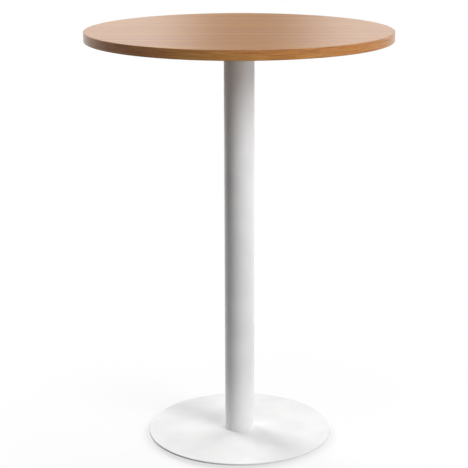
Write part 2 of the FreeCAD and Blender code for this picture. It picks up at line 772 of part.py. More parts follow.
def build_ballast_plate():
    """Steel disc: countersunk for the locator's screws, tapped through for the feet."""
    body = new_body("ballast_plate", BALLAST_BOTTOM)
    chamfer = "sizes.ballast_chamfer"
    thickness = "sizes.ballast_thickness"
    revolve(body, "plate", [
        ("0", "0"),
        (f"{BALLAST_RADIUS} - {chamfer}", "0"),
        (BALLAST_RADIUS, chamfer),
        (BALLAST_RADIUS, f"{thickness} - {chamfer}"),
        (f"{BALLAST_RADIUS} - {chamfer}", thickness),
        ("0", thickness),
    ])
    shank = f"({LOCATOR_SCREW_RADIUS} + sizes.thread_fit)"
    sink_depth = f"({LOCATOR_HEAD_RADIUS} - {LOCATOR_SCREW_RADIUS})"
    hole = drill(body, "locator_screw_hole", shank, thickness, x=LOCATOR_SCREW_X)
    sink = add_shape(body, "SubtractiveCone", "countersink", {
        "Radius1": f"{LOCATOR_HEAD_RADIUS} + sizes.thread_fit",
        "Radius2": shank,
        "Height": sink_depth,
    }, x=LOCATOR_SCREW_X)
    repeat_round(body, "countersunk_holes", [hole, sink], "sizes.locator_screw_count")
    radius = "sizes.stud_diameter / 2 + sizes.thread_fit"
    tap = drill(
        body, "stud_tap", radius, thickness,
        x=f"{FOOT_CIRCLE_RADIUS} * cos({FIRST_FOOT_ANGLE} deg)",
        y=f"{FOOT_CIRCLE_RADIUS} * sin({FIRST_FOOT_ANGLE} deg)",
    )
    repeat_round(body, "stud_taps", [tap], str(FOOT_COUNT))
    return body


# ---------------------------------------------------------------------------------------
# Levelling feet
# ---------------------------------------------------------------------------------------
def place_foot(body, foot):
    """Move a foot's body out to its place in the ring, turned to face outwards."""
    angle = FIRST_FOOT_ANGLE + 360 / FOOT_COUNT * (foot - 1)
    body.Placement.Rotation = FreeCAD.Rotation(FreeCAD.Vector(0, 0, 1), angle)
    bind(body, {
        "Placement.Base.x": f"{FOOT_CIRCLE_RADIUS} * cos({angle} deg)",
        "Placement.Base.y": f"{FOOT_CIRCLE_RADIUS} * sin({angle} deg)",
    })


def build_foot_pad(foot):
    """Nylon glide: a round pad whose lip snaps over the stud's button."""
    body = new_body(f"foot_pad_{foot}", "0")
    outer = "sizes.glide_diameter / 2"
    chamfer = "sizes.glide_chamfer"
    socket = "sizes.button_diameter / 2 + sizes.glide_fit"
    lip = "sizes.neck_diameter / 2 + sizes.glide_fit"
    lip_underside = "sizes.glide_floor + sizes.button_height + sizes.button_play"
    revolve(body, f"glide_{foot}", [
        ("0", "0"),
        (f"{outer} - {chamfer}", "0"),
        (outer, chamfer),
        (outer, f"sizes.glide_height - {chamfer}"),
        (f"{outer} - {chamfer}", "sizes.glide_height"),
        (lip, "sizes.glide_height"),
        (lip, lip_underside),
        (socket, lip_underside),
        (socket, "sizes.glide_floor"),
        ("0", "sizes.glide_floor"),
    ])
    place_foot(body, foot)
    return body


def build_foot_stud(foot):
    """Levelling stud: snap button, neck, hexagon collar and thread."""
    body = new_body(f"foot_stud_{foot}", "sizes.glide_floor")
    collar_bottom = f"({COLLAR_BOTTOM} - sizes.glide_floor)"
    collar_top = f"({collar_bottom} + sizes.collar_height)"
    tip = f"({collar_top} + sizes.ballast_thickness - sizes.stud_tip_gap)"
    button = "sizes.button_diameter / 2"
    neck = "sizes.neck_diameter / 2"
    thread = "sizes.stud_diameter / 2"
    revolve(body, f"stud_{foot}", [
        ("0", "0"),
        (button, "0"),
        (button, "sizes.button_height"),
        (neck, "sizes.button_height"),
        (neck, collar_top),
        (thread, collar_top),
        (thread, f"{tip} - sizes.stud_chamfer"),
        (f"{thread} - sizes.stud_chamfer", tip),
        ("0", tip),
    ])
    collar = {
        "Circumradius": "sizes.collar_flats / sqrt(3)",
        "Height": "sizes.collar_height",
    }
    add_shape(body, "AdditivePrism", f"collar_{foot}", collar, z=collar_bottom)
    bevel_hexagon(
        body, f"collar_{foot}", "sizes.collar_flats", "sizes.collar_face_diameter",
        collar_bottom, collar_top,
    )
    place_foot(body, foot)
    return body


# ---------------------------------------------------------------------------------------
# Assembly
# ---------------------------------------------------------------------------------------
pieces = [
    build_tabletop_core(),
    build_backing_laminate(),
    build_top_laminate(),
    build_edge_band(),
    build_top_spider(),
    build_spider_screws(),
    build_column_tube(),
    build_tie_rod(),
    build_rod_nut(),
    build_rod_washer(),
    build_rod_spring_washer(),
    build_column_locator(),
    build_locator_screws(),
    build_base_cover(),
    build_ballast_plate(),
]
for foot in range(1, FOOT_COUNT + 1):
    pieces.append(build_foot_pad(foot))
    pieces.append(build_foot_stud(foot))
doc.recompute()

failed = [item.Label for item in doc.Objects if {"Invalid", "Error"} & set(item.State)]
if failed:
    raise RuntimeError(f"features that did not compute: {failed}")
for piece in pieces:
    if piece.Shape.isNull() or not piece.Shape.isValid():
        raise RuntimeError(f"{piece.Label} has no valid shape")

os.makedirs("parts", exist_ok=True)
for piece in pieces:
    piece.Shape.exportStep(f"parts/{piece.Label}.step")
    print(f"{piece.Label}: {len(piece.Shape.Solids)} solid(s), {piece.Shape.Volume:.1f} mm3")
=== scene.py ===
# %% [markdown]
# # A standing meeting table
#
# One round board, one white steel column, one thin white base: a table people stand at.
# The construction model already holds every piece at its real size. This lesson gives each
# piece its finish, turns those pieces anew whose threads and bends the construction model
# leaves plain or coarse, and sets up a small studio to look at the result.
# Lengths are metres, +Z is up, and the floor is at height zero.

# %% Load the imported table
import json
import math

import bmesh
import bpy
from mathutils import Matrix, Vector


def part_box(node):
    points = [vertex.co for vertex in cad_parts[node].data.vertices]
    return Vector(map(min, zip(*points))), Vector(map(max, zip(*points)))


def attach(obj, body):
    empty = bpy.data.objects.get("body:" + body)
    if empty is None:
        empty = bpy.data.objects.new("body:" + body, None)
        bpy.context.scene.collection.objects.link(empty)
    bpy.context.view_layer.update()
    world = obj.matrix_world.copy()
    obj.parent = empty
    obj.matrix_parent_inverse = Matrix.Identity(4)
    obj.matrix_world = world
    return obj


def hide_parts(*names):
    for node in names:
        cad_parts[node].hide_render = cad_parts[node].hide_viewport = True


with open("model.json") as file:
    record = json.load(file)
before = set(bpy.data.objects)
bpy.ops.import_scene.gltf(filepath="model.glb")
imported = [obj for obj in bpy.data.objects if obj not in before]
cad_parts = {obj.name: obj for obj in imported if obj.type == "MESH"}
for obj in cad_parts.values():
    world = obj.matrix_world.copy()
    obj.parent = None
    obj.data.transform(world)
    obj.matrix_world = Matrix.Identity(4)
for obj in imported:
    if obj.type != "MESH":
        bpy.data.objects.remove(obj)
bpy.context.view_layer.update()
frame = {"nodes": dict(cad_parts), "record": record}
nodes = frame["nodes"]

# %% [markdown]
# ## Measuring what is there
#
# The steps below need a few lengths, such as the radius that the edging's grain runs round.
# The large ones are read from the pieces themselves, so that they are written down in one
# place only. Small hardware is easier to think of in millimetres, and MM turns those into
# metres.

# %% Read the main sizes
MM = 0.001

edging_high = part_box("edge_band")[1]
column_low, column_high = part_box("column_tube")
cover_low, cover_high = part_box("base_cover")
top_radius, top_height = edging_high.x, edging_high.z
base_radius = cover_high.x
print(f"top {2 * top_radius:.3f} m across at {top_height:.3f} m, base {2 * base_radius:.3f} m")
print(f"column {2 * column_high.x:.3f} m across, {column_high.z - column_low.z:.3f} m long")

# %% [markdown]
# ## Shader sums that read like sums
#
# A finish is mostly arithmetic: so many parts of this noise, less so many of that one.
# Blender does such sums with Math nodes, which are tedious to wire by hand. A Signal wraps
# the output socket of a node, and a sum written with Signals adds the Math nodes that do it.
# A Graph is one node tree, and its single method node() makes any node: first its settings,
# then the values or Signals of its inputs.

# %% Wrap sockets and node trees
class Signal:
    """An output socket on which sums can be written."""

    def __init__(self, graph, socket):
        self.graph = graph
        self.socket = socket

    def __getitem__(self, name):
        """Another output of the same node."""
        return Signal(self.graph, self.socket.node.outputs[name])

    def combine(self, operation, first, second):
        return self.graph.node("ShaderNodeMath", {"operation": operation}, {0: first, 1: second})

    def __add__(self, other):
        return self.combine("ADD", self, other)

    def __radd__(self, other):
        return self.combine("ADD", other, self)

    def __sub__(self, other):
        return self.combine("SUBTRACT", self, other)

    def __rsub__(self, other):
        return self.combine("SUBTRACT", other, self)

    def __mul__(self, other):
        return self.combine("MULTIPLY", self, other)

    def __rmul__(self, other):
        return self.combine("MULTIPLY", other, self)

    def __truediv__(self, other):
        return self.combine("DIVIDE", self, other)

    def __rtruediv__(self, other):
        return self.combine("DIVIDE", other, self)


class Graph:
    """The node tree of a material or of the world."""

    def __init__(self, tree):
        self.tree = tree
        tree.nodes.clear()

    def node(self, kind, settings, inputs, output=0):
        """Add a node and hand back one of its outputs, if it has any."""
        made = self.tree.nodes.new(kind)
        for name, value in settings.items():
            setattr(made, name, value)
        for name, value in inputs.items():
            if isinstance(value, Signal):
                self.tree.links.new(value.socket, made.inputs[name])
            else:
                made.inputs[name].default_value = value
        return Signal(self, made.outputs[output]) if made.outputs else None


# %% [markdown]
# ## Colours as they look
#
# A paint chart gives colours as a screen shows them, from 0 to 255, while a renderer counts
# light. One helper does the change, so that every finish below can be read off a chart, and
# another mixes two such colours that don't vary, which needs no node.

# %% Helpers for fixed colours
# A screen's levels rise in a straight line at first, and by a power after that.
STRAIGHT_BELOW, STRAIGHT_SLOPE = 0.04045, 12.92
POWER_OFFSET, POWER = 0.055, 2.4


def screen_colour(red, green, blue):
    """A colour as shown on screen, 0 to 255, as the light values that shaders use."""
    def light(level):
        share = level / 255
        if share <= STRAIGHT_BELOW:
            return share / STRAIGHT_SLOPE
        return ((share + POWER_OFFSET) / (1 + POWER_OFFSET)) ** POWER

    return (light(red), light(green), light(blue), 1.0)


def between(first, second, share):
    """The fixed colour that lies this share of the way from the first to the second."""
    return tuple(start + (end - start) * share for start, end in zip(first, second))


print(f"a grey of 128 on screen is {screen_colour(128, 128, 128)[0]:.3f} of full light")

# %% [markdown]
# ## Moves that all the finishes share
#
# A finish blends colours, stretches a faint noise until it shows, and raises the surface a
# little where the noise is high. Each of the three is one node with a few settings, so each
# gets a helper with a plain name. The last helper makes the material round them: one main
# shader, with the places on the piece as its only way of knowing where it is.

# %% Helpers for blends, levels and relief
# A Mix node has other sockets for each kind of value. These are the ones for colours.
MIX_SHARE, MIX_FIRST, MIX_SECOND, MIX_RESULT = 0, 6, 7, 2


def blend(graph, share, first, second):
    """The first colour where share is 0 and the second where it is 1."""
    inputs = {MIX_SHARE: share, MIX_FIRST: first, MIX_SECOND: second}
    return graph.node("ShaderNodeMix", {"data_type": "RGBA"}, inputs, MIX_RESULT)


def stretch(graph, value, low, high, new_low=0.0, new_high=1.0):
    """A value between low and high as one between new_low and new_high, held at the ends."""
    levels = {"From Min": low, "From Max": high, "To Min": new_low, "To Max": new_high}
    settings = {"interpolation_type": "SMOOTHSTEP"}
    return graph.node("ShaderNodeMapRange", settings, {"Value": value, **levels})


def relief(graph, height, depth, strength):
    """The normal of a surface that rises by up to depth, in metres, where height is 1."""
    inputs = {"Height": height, "Distance": depth, "Strength": strength}
    return graph.node("ShaderNodeBump", {}, inputs)


def new_finish(name, surface):
    """A material whose main shader takes the inputs that surface(graph, place) returns."""
    material = bpy.data.materials.new(name)
    material.use_nodes = True
    graph = Graph(material.node_tree)
    place = graph.node("ShaderNodeTexCoord", {}, {}, "Object")
    shader = graph.node("ShaderNodeBsdfPrincipled", {}, surface(graph, place))
    graph.node("ShaderNodeOutputMaterial", {}, {"Surface": shader})
    print(f"finish {name}: {len(graph.tree.nodes)} nodes")
    return material


# %% [markdown]
# ## The wood decor
#
# The board is not solid wood. A printed sheet is pressed on it, straight-grained and pale
# brown, and a strip of the same print is glued round its edge. A print could be drawn as
# stripes, but stripes look like stripes. Noise stretched a long way along the grain and a
# short way across it looks like fibre, and a few sizes of it make the print. Broad bands
# drift from honey to rose. On them lie dark and pale streaks a few millimetres wide,
# hair-fine fibres, short dashes, and small dark pores, which the press leaves slightly sunk.
# Each kind of mark shows only where its noise is past one level and is full at another. One
# slow noise sways them all together, so that no line runs dead straight.

# %% Stretched noise for grain
FINE_SHARE = 0.55  # how much each finer layer of the noise counts


def grain(graph, along, across, length, width, lane, detail):
    """Noise whose marks are about length long and width wide; lane picks another pattern."""
    axes = {"X": along / length, "Y": across / width, "Z": lane}
    spot = graph.node("ShaderNodeCombineXYZ", {}, axes)
    inputs = {"Vector": spot, "Scale": 1.0, "Detail": detail, "Roughness": FINE_SHARE}
    return graph.node("ShaderNodeTexNoise", {}, inputs, "Fac")


# %% Choose the inks and the marks of the decor
HONEY = screen_colour(195, 139, 68)
ROSE = screen_colour(188, 123, 67)
DARK_STREAK = screen_colour(132, 84, 40)
PALE_STREAK = screen_colour(202, 150, 86)
PORE = screen_colour(106, 66, 32)

# Each mark: the noise level where it starts, where it is full, its strength and its ink.
MARKS = {
    "dark streaks": (0.52, 0.30, 0.55, DARK_STREAK),
    "pale streaks": (0.70, 0.90, 0.50, PALE_STREAK),
    "fibres": (0.50, 0.28, 0.35, DARK_STREAK),
    "dashes": (0.64, 0.78, 0.55, DARK_STREAK),
    "pores": (0.68, 0.80, 0.60, PORE),
}
print(f"{len(MARKS)} kinds of mark: {', '.join(MARKS)}")

# %% Choose the sizes of the noises
# Each noise: its length and width as shares of a streak's, its lane and its detail.
NOISES = {
    "wander": (0.9, 20.0, 0.0, 2.0),
    "bands": (4.2, 8.0, 3.7, 2.0),
    "streaks": (1.0, 1.0, 9.1, 4.0),
    "fibres": (1 / 6, 1 / 6, 15.3, 3.0),
    "dashes": (0.4, 0.5, 21.9, 1.0),
}
PORE_SIZE, PORE_LANE, PORE_DETAIL = (9 * MM, 0.45 * MM), 27.2, 0.0
WANDER_WIDTHS = 2  # how far the grain strays sideways, in widths of a streak
FIBRES_IN_PALE = 0.4  # how much the fibres break up the pale streaks
BAND_LEVELS, FIBRE_LEVELS = (0.38, 0.62), (0.2, 0.8)
DECOR_ROUGHNESS = (0.28, 0.20)
PRESS_DEPTH, PRESS_STRENGTH = 0.03 * MM, 0.5
FIBRE_RISE, PORE_FALL = 0.5, 0.6  # shares of the press depth
print(f"{len(NOISES)} noises in step with the streaks, and pores {PORE_SIZE[0] / MM:.0f} mm long")


# %% Print the decor
def wood_decor(graph, along, across, lane, length, width, contrast, shade, sheen):
    """Shader inputs of the print, from places along and across its grain.

    Streaks are about length by width, and the other marks are sized after them. Contrast
    is the strength of all the marks, shade deepens the ground under them, and sheen is 0.5
    for a face that is as glossy as most plastics.
    """
    def sized(name, across):
        long, wide, step, detail = NOISES[name]
        return grain(graph, along, across, long * length, wide * width, lane + step, detail)

    wander = sized("wander", across) - 0.5
    across = across + wander * (WANDER_WIDTHS * width)
    bands, streaks, fibres = (sized(name, across) for name in ("bands", "streaks", "fibres"))
    noises = {
        "dark streaks": streaks,
        "pale streaks": streaks + fibres * FIBRES_IN_PALE,
        "fibres": fibres,
        "dashes": sized("dashes", across),
        "pores": grain(graph, along, across, *PORE_SIZE, lane + PORE_LANE, PORE_DETAIL),
    }
    honey, rose = (between(ink, DARK_STREAK, shade) for ink in (HONEY, ROSE))
    colour = blend(graph, stretch(graph, bands, *BAND_LEVELS), honey, rose)
    for mark, noise in noises.items():
        start, full, strength, ink = MARKS[mark]
        cover = stretch(graph, noise, start, full, 0.0, strength * contrast)
        colour = blend(graph, cover, colour, ink)

    pits = stretch(graph, noises["pores"], *MARKS["pores"][:2])
    height = fibres * FIBRE_RISE - pits * PORE_FALL
    return {
        "Base Color": colour,
        "Roughness": stretch(graph, fibres, *FIBRE_LEVELS, *DECOR_ROUGHNESS),
        "Specular IOR Level": sheen,
        "Normal": relief(graph, height, PRESS_DEPTH, PRESS_STRENGTH),
    }


# %% [markdown]
# ## The same print on a flat face and round an edge
#
# On the two faces of the board the grain runs along X. The edging is a strip bent round the
# board, so its grain has to follow the rim: the angle round the table, times the radius, is
# the length along the strip, and the height is the distance across it. The angle is taken
# from the back, where the strip's two ends meet, so the pattern breaks at the real seam.

# %% Make the three wood finishes
TOP_LANE, UNDERSIDE_LANE, EDGING_LANE = 0.0, 80.0, 40.0
FLAT_PRINT = {"length": 1.1, "width": 6 * MM, "contrast": 1.0, "shade": 0.0, "sheen": 0.5}
EDGING_PRINT = {
    "length": 0.07, "width": 1.8 * MM, "contrast": 1.3, "shade": 0.28, "sheen": 0.25
}


def flat_decor(lane):
    """The print on a flat face, its grain along X."""
    def surface(graph, place):
        axes = graph.node("ShaderNodeSeparateXYZ", {}, {"Vector": place})
        return wood_decor(graph, axes["X"], axes["Y"], lane, **FLAT_PRINT)

    return surface


def edging_decor(graph, place):
    """The print on the edging, its grain round the rim."""
    axes = graph.node("ShaderNodeSeparateXYZ", {}, {"Vector": place})
    settings = {"operation": "ARCTAN2"}
    angle = graph.node("ShaderNodeMath", settings, {0: axes["X"], 1: 0 - axes["Y"]})
    along = angle * top_radius
    return wood_decor(graph, along, axes["Z"], EDGING_LANE, **EDGING_PRINT)


top_decor = new_finish("top_decor", flat_decor(TOP_LANE))
underside_decor = new_finish("underside_decor", flat_decor(UNDERSIDE_LANE))
edge_decor = new_finish("edge_decor", edging_decor)

# %% [markdown]
# ## White powder coat
#
# The column and the base are sprayed with powder that melts into a tough white skin. It
# never sets quite flat: it keeps a soft pebbling, a millimetre or two across and a few
# hundredths deep, which is called orange peel. A plain white with a little gloss would look
# like paper, and the pebbling in the relief is what makes it read as coated steel.

# %% Coat the column and the base
COAT_WHITE = screen_colour(237, 237, 237)
COAT_SHADE = screen_colour(231, 231, 232)

# Noise levels between which a cloud goes from one colour to the other, and a skin from its
# smoothest to its roughest.
CLOUD_LEVELS, SKIN_LEVELS = (0.35, 0.65), (0.3, 0.7)


def pebbling(graph, place, size, detail=1.0):
    """Even noise with bumps of about this size, in metres."""
    inputs = {"Vector": place, "Scale": 1 / size, "Detail": detail, "Roughness": 0.5}
    return graph.node("ShaderNodeTexNoise", {}, inputs, "Fac")


def powder_coat(white, shade):
    """White that drifts faintly to a shade of it, with orange peel in its gloss and relief."""
    def surface(graph, place):
        peel = pebbling(graph, place, size=2.2 * MM)
        drift = pebbling(graph, place, size=90 * MM)
        return {
            "Base Color": blend(graph, stretch(graph, drift, *CLOUD_LEVELS), white, shade),
            "Roughness": stretch(graph, peel, *SKIN_LEVELS, new_low=0.36, new_high=0.44),
            "Normal": relief(graph, peel, depth=0.05 * MM, strength=0.5),
        }

    return surface


white_steel = new_finish("white_steel", powder_coat(COAT_WHITE, COAT_SHADE))

# %% [markdown]
# ## Finishes under the board and under the base
#
# The parts that nobody looks at still have to be right, because the table gets turned over.
# The spider is an aluminium casting, sprayed grey over a skin that is grainier than rolled
# steel. Its screws, the tie rod and the studs are zinc plated, a bright metal that is
# clouded where the plating is thicker. The locator in the column's foot is bare steel that
# still shows the tool's fine grooves. Its countersunk screws are blackened with oil, the
# ballast has one thin coat of black, and the glides are moulded in black nylon. Inside the
# board are wood chips, pressed flat. Most of these finishes are a coarse noise for clouds of
# colour and a finer one for the skin.

# %% Metal finishes
TOOL_FEED = 0.25 * MM  # how far the lathe's tool moves along in one turn


def coated_casting(graph, place):
    skin = pebbling(graph, place, size=1.1 * MM, detail=2.0)
    cloud = pebbling(graph, place, size=40 * MM)
    light, dark = screen_colour(150, 152, 155), screen_colour(140, 142, 146)
    return {
        "Base Color": blend(graph, stretch(graph, cloud, *CLOUD_LEVELS), light, dark),
        "Roughness": stretch(graph, skin, *SKIN_LEVELS, new_low=0.48, new_high=0.6),
        "Normal": relief(graph, skin, depth=0.08 * MM, strength=0.6),
    }


def plated_zinc(graph, place):
    cloud = pebbling(graph, place, size=6 * MM, detail=3.0)
    bright, milky = screen_colour(202, 204, 205), screen_colour(190, 191, 187)
    return {
        "Base Color": blend(graph, stretch(graph, cloud, *CLOUD_LEVELS), bright, milky),
        "Metallic": 1.0,
        "Roughness": stretch(graph, cloud, *SKIN_LEVELS, new_low=0.28, new_high=0.38),
    }


def turned_steel(graph, place):
    axes = graph.node("ShaderNodeSeparateXYZ", {}, {"Vector": place})
    turns = axes["Z"] / TOOL_FEED
    groove = graph.node("ShaderNodeMath", {"operation": "SINE"}, {0: turns * math.tau})
    cloud = pebbling(graph, place, size=12 * MM, detail=2.0)
    light, dark = screen_colour(168, 168, 170), screen_colour(150, 150, 153)
    return {
        "Base Color": blend(graph, cloud, light, dark),
        "Metallic": 1.0,
        "Roughness": stretch(graph, cloud, *SKIN_LEVELS, new_low=0.3, new_high=0.42),
        "Normal": relief(graph, groove, depth=0.01 * MM, strength=0.4),
    }


def blackened_steel(graph, place):
    cloud = pebbling(graph, place, size=5 * MM, detail=3.0)
    black, grey = screen_colour(34, 34, 36), screen_colour(58, 56, 54)
    rubbed = stretch(graph, cloud, low=0.45, high=0.75)
    return {
        "Base Color": blend(graph, rubbed, black, grey),
        "Metallic": 1.0,
        "Roughness": stretch(graph, cloud, *SKIN_LEVELS, new_low=0.38, new_high=0.52),
    }


cast_grey = new_finish("cast_grey", coated_casting)
zinc = new_finish("zinc", plated_zinc)
raw_steel = new_finish("raw_steel", turned_steel)
black_screws = new_finish("black_screws", blackened_steel)


# %% Painted, moulded and pressed finishes
CHIP_SIZE = 3.5 * MM


def thin_black_paint(graph, place):
    scale = pebbling(graph, place, size=3 * MM, detail=4.0)
    cloud = pebbling(graph, place, size=70 * MM, detail=2.0)
    black, grey = screen_colour(38, 38, 40), screen_colour(54, 53, 52)
    dusty = stretch(graph, cloud, low=0.4, high=0.7)
    return {
        "Base Color": blend(graph, dusty, black, grey),
        "Roughness": stretch(graph, scale, *SKIN_LEVELS, new_low=0.5, new_high=0.66),
        "Normal": relief(graph, scale, depth=0.06 * MM, strength=0.6),
    }


def moulded_nylon(graph, place):
    grit = pebbling(graph, place, size=0.5 * MM)
    cloud = pebbling(graph, place, size=8 * MM)
    black, grey = screen_colour(36, 36, 38), screen_colour(44, 44, 46)
    return {
        "Base Color": blend(graph, cloud, black, grey),
        "Roughness": stretch(graph, grit, *SKIN_LEVELS, new_low=0.42, new_high=0.54),
        "Normal": relief(graph, grit, depth=0.02 * MM, strength=0.5),
    }


def pressed_chips(graph, place):
    chips = {"Vector": place, "Scale": 1 / CHIP_SIZE, "Randomness": 1.0}
    flake = graph.node("ShaderNodeTexVoronoi", {}, chips, "Color")
    shade = graph.node("ShaderNodeSeparateColor", {}, {"Color": flake}, "Red")
    light, dark = screen_colour(203, 172, 128), screen_colour(146, 108, 68)
    return {
        "Base Color": blend(graph, shade, light, dark),
        "Roughness": 0.8,
        "Normal": relief(graph, shade, depth=0.1 * MM, strength=0.6),
    }


raw_ballast = new_finish("raw_ballast", thin_black_paint)
nylon = new_finish("nylon", moulded_nylon)
particle_board = new_finish("particle_board", pressed_chips)

# %% [markdown]
# ## Dressing the pieces
#
# The pieces whose shape is already right keep it and only change their clothes. The record
# of the model says which finish each piece is meant to have, so the list is short. The
# column and the base's cover share one white coat.

# %% Put each finish on its pieces
FINISHES = {
    "particle_board": particle_board,
    "top_decor": top_decor,
    "underside_decor": underside_decor,
    "edge_decor": edge_decor,
    "cast_grey": cast_grey,
    "zinc": zinc,
    "raw_steel": raw_steel,
    "black_screws": black_screws,
    "white_steel": white_steel,
    "white_steel_cover": white_steel,
    "raw_ballast": raw_ballast,
    "nylon": nylon,
}


def dress(piece, material):
    """Give a piece this material and no other."""
    piece.data.materials.clear()
    piece.data.materials.append(material)


subparts = frame["record"]["subparts"]
for subpart in subparts:
    dress(nodes[subpart["node"]], FINISHES[subpart["material_slot"]])
print(f"dressed {len(subparts)} pieces in {len(set(FINISHES.values()))} finishes")

# %% [markdown]
# ## A lathe
#
# Screws, studs, rods and glides can all be turned: each is rings of points stacked along an
# axis. A plain spin of a profile could make them, but it can't make a thread or a hexagon.
# So each ring here says how high it is, how wide, and by what rule its radius changes on
# the way round. A round rule changes nothing, a hexagon trims the ring to six flats, and a
# thread cuts a groove that climbs one pitch a turn.

# %% Rules for the radius of a ring
def plain(radius, angle, height):
    """A round ring."""
    return radius


def hexagon(flats):
    """Trim a ring to a hexagon of this width across its flats, a corner at angle 0."""
    sixth = math.tau / 6

    def rule(radius, angle, height):
        from_flat = angle % sixth - sixth / 2
        return min(radius, flats / 2 / math.cos(from_flat))

    return rule


def thread(pitch, depth, start, end, crest=1 / 8):
    """Cut a right-hand V thread from start to end, fading out over a pitch at both.

    Crest is the share of the pitch that stays uncut, an eighth on a machine screw.
    """
    def rule(radius, angle, height):
        phase = (height / pitch - angle / math.tau) % 1
        groove = max(0.0, 1 - abs(2 * phase - 1) / (1 - crest))
        fade = min(1.0, max(0.0, min(height - start, end - height) / pitch))
        return radius - depth * groove * fade

    return rule


collar_flats = 13 * MM
to_corner = hexagon(collar_flats)(math.inf, 0.0, 0.0)
print(f"13 mm across the flats is {to_corner / MM:.2f} mm from the axis to a corner")

# %% Rings along a profile
SAME_RING = 0.001 * MM  # two rings as close as this are one


def rings_between(start, end, radius, rule, step):
    """Evenly spaced rings of one radius and rule, both ends included."""
    count = max(1, math.ceil((end - start) / step))
    heights = [start + (end - start) * ring / count for ring in range(count + 1)]
    return [(height, radius, rule) for height in heights]


def rounded(corners, rounding, steps=4):
    """Rings through profile corners (height, radius), their bends rounded off."""
    spots = [Vector(corner) for corner in corners]
    bend = [spots[0]]
    for before, corner, after in zip(spots, spots[1:], spots[2:]):
        reach = min(rounding, (before - corner).length / 2, (after - corner).length / 2)
        enter = corner + (before - corner).normalized() * reach
        leave = corner + (after - corner).normalized() * reach
        for step in range(steps + 1):
            share = step / steps
            spot = enter.lerp(corner, share).lerp(corner.lerp(leave, share), share)
            if (spot - bend[-1]).length > SAME_RING:
                bend.append(spot)
    bend.append(spots[-1])
    return [(spot.x, spot.y, plain) for spot in bend]


one_bend = rounded([(0, MM), (MM, MM), (MM, 0)], MM / 2)
print(f"a profile with one rounded bend takes {len(one_bend)} rings")

# %% Turn rings into a closed mesh
def lathe(form, rings, segments, place):
    """Add to a mesh form the closed piece through these rings, moved by a matrix."""
    loops = []
    for height, radius, rule in rings:
        loop = []
        for segment in range(segments):
            angle = segment * math.tau / segments
            reach = rule(radius, angle, height)
            spot = Vector((reach * math.cos(angle), reach * math.sin(angle), height))
            loop.append(form.verts.new(place @ spot))
        loops.append(loop)
    for below, above in zip(loops, loops[1:]):
        for segment in range(segments):
            after = (segment + 1) % segments
            form.faces.new((below[segment], below[after], above[after], above[segment]))
    form.faces.new(reversed(loops[0]))
    form.faces.new(loops[-1])


TRIAL_SEGMENTS = 96
trial = bmesh.new()
lathe(trial, rings_between(0, 1, 1, plain, step=1), TRIAL_SEGMENTS, Matrix.Identity(4))
bmesh.ops.recalc_face_normals(trial, faces=trial.faces)
print(f"a trial cylinder of volume pi holds {trial.calc_volume():.3f}")
trial.free()


# %% Turn a form into a piece of the table
SHARP_FROM = math.radians(32)


def finish_piece(name, form, material, slot, body, *replaced):
    """Turn a mesh form into a piece that rides on a body in place of CAD nodes."""
    bmesh.ops.recalc_face_normals(form, faces=form.faces)
    mesh = bpy.data.meshes.new(name)
    form.to_mesh(mesh)
    form.free()
    mesh.shade_smooth()
    mesh.set_sharp_from_angle(angle=SHARP_FROM)
    piece = bpy.data.objects.new(name, mesh)
    bpy.context.scene.collection.objects.link(piece)
    dress(piece, material)
    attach(piece, body)
    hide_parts(*replaced)
    print(f"{name}: {len(mesh.vertices)} points, in place of {', '.join(replaced)}")


print(f"edges that bend by more than {math.degrees(SHARP_FROM):.0f} degrees stay crisp")

# %% [markdown]
# ## Levelling feet
#
# Four feet carry the table. Each has a zinc-plated stud, with a thread that screws into the
# ballast, a hexagon collar for the spanner and a button at its foot, and a nylon glide that
# snaps over the button so that it can stay still while the stud turns. They are two pieces
# on two bodies, because one turns and the other doesn't. All their heights are counted from
# the lowest point of the piece that is replaced.

# %% Set out a stud
M8_PITCH, M8_GROOVE = 1.25 * MM, 0.68 * MM
M8_STEP = M8_PITCH / 8  # from ring to ring
stud_radius, stud_chamfer = 4 * MM, 0.8 * MM
button_radius, button_height, button_rounding = 6 * MM, 1.5 * MM, 0.3 * MM
neck_radius = 4.75 * MM
collar_bottom, collar_top = 3.3 * MM, 5.8 * MM
thread_start = collar_top + 0.1 * MM  # its first ring, clear of the collar
collar_face, collar_corner = 6.2 * MM, collar_flats / math.sqrt(3)
collar_bevel = (collar_corner - collar_face) * math.tan(math.radians(30))


def collar_rings():
    """From the neck's top, over the hexagon with its two bevelled faces, to the shank."""
    collar = hexagon(collar_flats)
    halfway_out = (collar_face + collar_corner) / 2
    return [
        (collar_bottom, neck_radius, plain),
        (collar_bottom, collar_face, plain),
        (collar_bottom + collar_bevel / 2, halfway_out, collar),
        (collar_bottom + collar_bevel, collar_corner, collar),
        (collar_top - collar_bevel, collar_corner, collar),
        (collar_top - collar_bevel / 2, halfway_out, collar),
        (collar_top, collar_face, plain),
        (collar_top, stud_radius, plain),
    ]


def stud_rings(length):
    """From the button's underside up to the thread's end."""
    button = rounded([
        (0, button_radius / 2),
        (0, button_radius),
        (button_height, button_radius),
        (button_height, neck_radius),
    ], button_rounding)
    cut = thread(M8_PITCH, M8_GROOVE, collar_top, length)
    threaded = rings_between(thread_start, length - stud_chamfer, stud_radius, cut, M8_STEP)
    tip = (length, stud_radius - stud_chamfer, plain)
    return [*button, *collar_rings(), *threaded, tip]


print(f"the collar's corners are bevelled over {collar_bevel / MM:.2f} mm")

